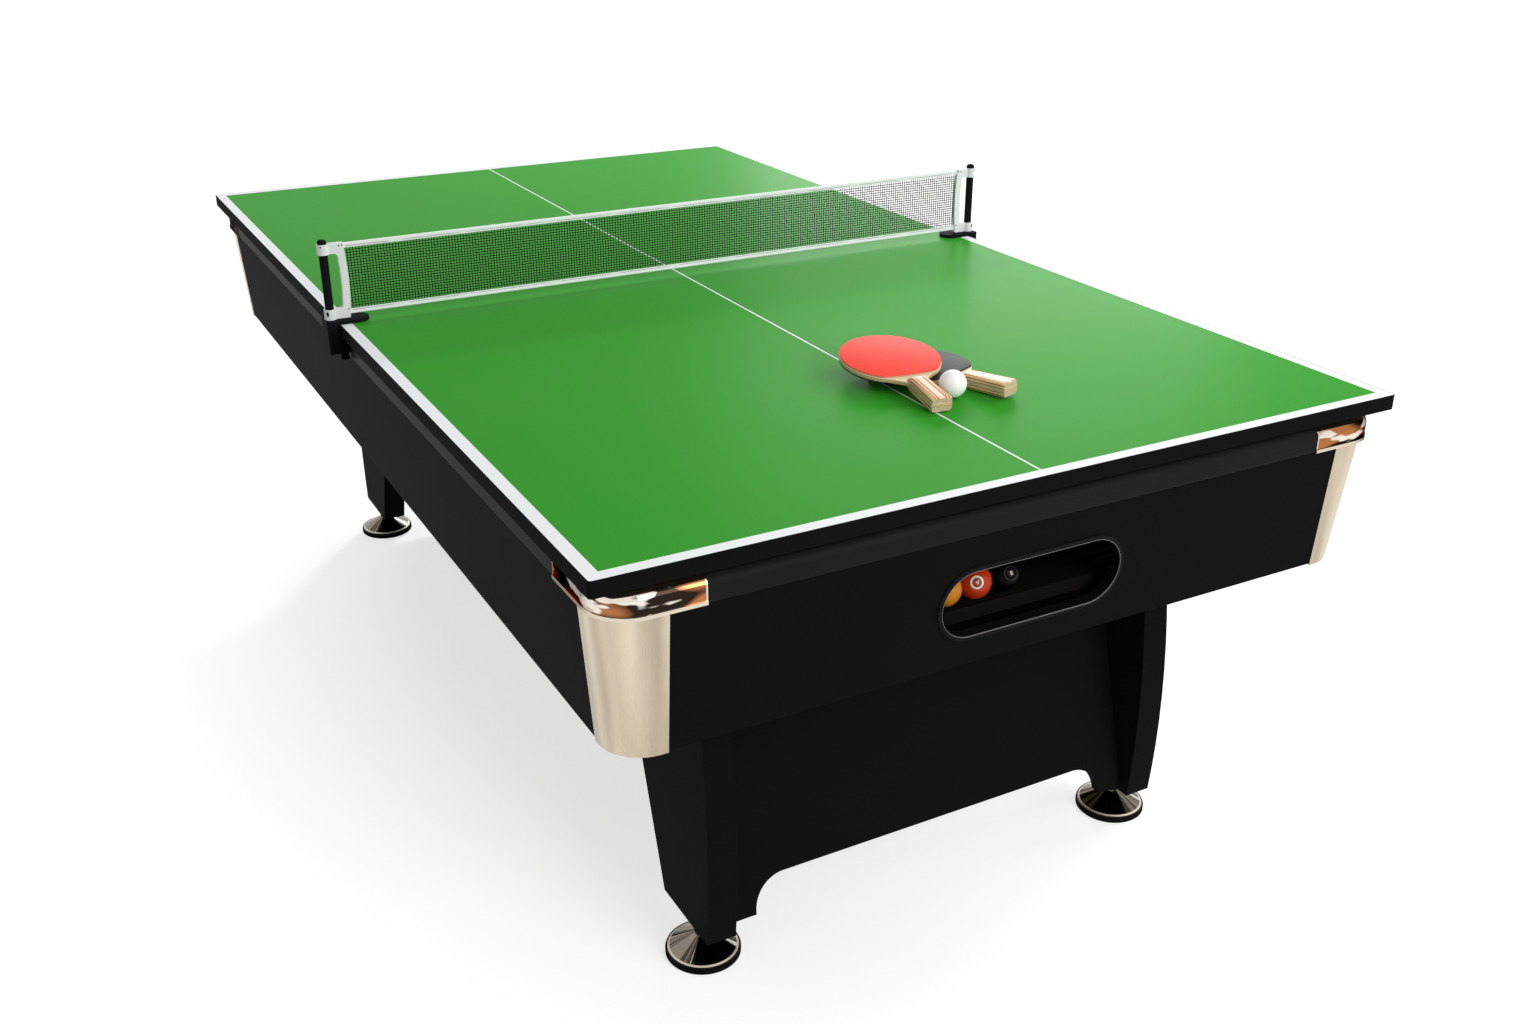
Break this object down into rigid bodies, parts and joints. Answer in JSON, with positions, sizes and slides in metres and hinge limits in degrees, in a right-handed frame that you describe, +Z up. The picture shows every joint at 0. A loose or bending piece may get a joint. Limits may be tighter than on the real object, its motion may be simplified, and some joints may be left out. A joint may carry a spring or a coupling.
{
  "type": "multi game table",
  "caption": "Pool table on board legs with a lift-off table tennis top, a clamped net, bats and balls, an oval ball return and levelling feet.",
  "frame": {"origin": "on the floor under the middle of the table", "axes": "+Z up, +Y along the table away from the ball return, +X across it to the right seen from the ball return"},
  "size_m": [1.29, 2.14, 0.908],
  "materials": {
    "top_green": "painted green, satin, with white border and centre lines",
    "black_plastic": "matt black",
    "rubber": "matt",
    "black_metal": "satin black",
    "steel": "plain steel",
    "white_plastic": "white, smooth",
    "net_black": "knotted net",
    "net_tape": "woven tape",
    "ply": "five ply, clear lacquer",
    "red_rubber": "smooth",
    "black_rubber": "smooth",
    "handle_wood": "lacquered, striped",
    "ball_celluloid": "matt white",
    "board": "bare board",
    "cloth": "green wool cloth",
    "black_board": "board with matt black laminate",
    "cushion": "rubber covered with green cloth",
    "polished": "polished",
    "apron_laminate": "board with matt black laminate",
    "champagne": "satin champagne",
    "ledge_beige": "beige",
    "ball_orange": "glossy",
    "ball_yellow": "glossy",
    "ball_black": "glossy"
  },
  "bodies": {
    "table": {"bed_board": "board", "bed_cloth": "cloth", "rail_front": "black_board", "rail_rear": "black_board", "rail_left": "black_board", "rail_right": "black_board", "end_cushions": "cushion", "side_cushions": "cushion", "corner_caps": "polished", "side_pocket_plates": "polished", "corner_pockets": "black_plastic", "side_pockets": "black_plastic", "apron_front": "apron_laminate", "apron_rear": "apron_laminate", "apron_left": "apron_laminate", "apron_right": "apron_laminate", "corner_covers": "champagne", "corner_blocks": "board", "ball_return_bezel": "black_plastic", "ball_tray": "black_plastic", "ball_ledge": "ledge_beige", "runner_rods": "steel", "cross_beams": "board", "mount_boards": "board", "legs": "black_board", "cross_panel_front": "black_board", "cross_panel_rear": "black_board", "leg_bolts": "steel"},
    "tennis_top": {"tennis_top_left": "top_green", "tennis_top_right": "top_green", "edge_bands": "black_plastic", "top_rest_pads": "rubber", "net_clamps": "black_metal", "net_posts": "black_metal", "net_brackets": "white_plastic", "net_mesh": "net_black", "net_top_tape": "net_tape", "net_bottom_tape": "net_tape"},
    "clamp_slide_left": {"clamp_pad_left": "rubber"},
    "clamp_slide_right": {"clamp_pad_right": "rubber"},
    "clamp_knob_left": {"clamp_screw_left": "black_plastic"},
    "clamp_knob_right": {"clamp_screw_right": "black_plastic"},
    "bat_black": {"bat_black_blade": "ply", "bat_black_rubbers": "black_rubber", "bat_black_handle": "handle_wood"},
    "bat_red": {"bat_red_blade": "ply", "bat_red_rubbers": "red_rubber", "bat_red_handle": "handle_wood"},
    "table_tennis_ball": {"tennis_ball": "ball_celluloid"},
    "pool_ball_orange": {"pool_ball_orange": "ball_orange"},
    "pool_ball_yellow": {"pool_ball_yellow": "ball_yellow"},
    "pool_ball_black": {"pool_ball_black": "ball_black"},
    "foot_front_left": {"foot_metal_front_left": "polished", "foot_base_front_left": "black_plastic"},
    "foot_front_right": {"foot_metal_front_right": "polished", "foot_base_front_right": "black_plastic"},
    "foot_rear_left": {"foot_metal_rear_left": "polished", "foot_base_rear_left": "black_plastic"},
    "foot_rear_right": {"foot_metal_rear_right": "polished", "foot_base_rear_right": "black_plastic"}
  },
  "joints": [
    {"name": "tennis_top_lift", "type": "slide", "parent": "table", "child": "tennis_top", "axis": [0, 0, 1], "range_m": [0, 0.3]},
    {"name": "clamp_screw_travel_left", "type": "slide", "parent": "tennis_top", "child": "clamp_slide_left", "axis": [0, 0, -1], "range_m": [0, 0.01]},
    {"name": "clamp_knob_turn_left", "type": "hinge", "parent": "clamp_slide_left", "child": "clamp_knob_left", "pos_m": [-0.6175, 0, 0.712], "axis": [0, 0, -1], "range_deg": [0, 1201]},
    {"name": "clamp_screw_travel_right", "type": "slide", "parent": "tennis_top", "child": "clamp_slide_right", "axis": [0, 0, -1], "range_m": [0, 0.01]},
    {"name": "clamp_knob_turn_right", "type": "hinge", "parent": "clamp_slide_right", "child": "clamp_knob_right", "pos_m": [0.6175, 0, 0.712], "axis": [0, 0, -1], "range_deg": [0, 1201]},
    {"name": "bat_black_lift", "type": "slide", "parent": "tennis_top", "child": "bat_black", "axis": [0, 0, 1], "range_m": [0, 0.3]},
    {"name": "bat_red_lift", "type": "slide", "parent": "bat_black", "child": "bat_red", "axis": [0, 0, 1], "range_m": [0, 0.3]},
    {"name": "tennis_ball_lift", "type": "slide", "parent": "tennis_top", "child": "table_tennis_ball", "axis": [0, 0, 1], "range_m": [0, 0.3]},
    {"name": "pool_ball_orange_out", "type": "slide", "parent": "table", "child": "pool_ball_orange", "axis": [0, -1, 0], "range_m": [0, 0.15]},
    {"name": "pool_ball_yellow_out", "type": "slide", "parent": "table", "child": "pool_ball_yellow", "axis": [0, -1, 0], "range_m": [0, 0.15]},
    {"name": "pool_ball_black_out", "type": "slide", "parent": "table", "child": "pool_ball_black", "axis": [0, -1, 0], "range_m": [0, 0.15]},
    {"name": "foot_front_left_level", "type": "slide", "parent": "table", "child": "foot_front_left", "axis": [0, 0, -1], "range_m": [0, 0.02]},
    {"name": "foot_front_right_level", "type": "slide", "parent": "table", "child": "foot_front_right", "axis": [0, 0, -1], "range_m": [0, 0.02]},
    {"name": "foot_rear_left_level", "type": "slide", "parent": "table", "child": "foot_rear_left", "axis": [0, 0, -1], "range_m": [0, 0.02]},
    {"name": "foot_rear_right_level", "type": "slide", "parent": "table", "child": "foot_rear_right", "axis": [0, 0, -1], "range_m": [0, 0.02]}
  ],
  "couplings": [
    {"joint": "clamp_knob_turn_left", "follows": "clamp_screw_travel_left", "rad_per_m": 2094.4},
    {"joint": "clamp_knob_turn_right", "follows": "clamp_screw_travel_right", "rad_per_m": 2094.4}
  ]
}
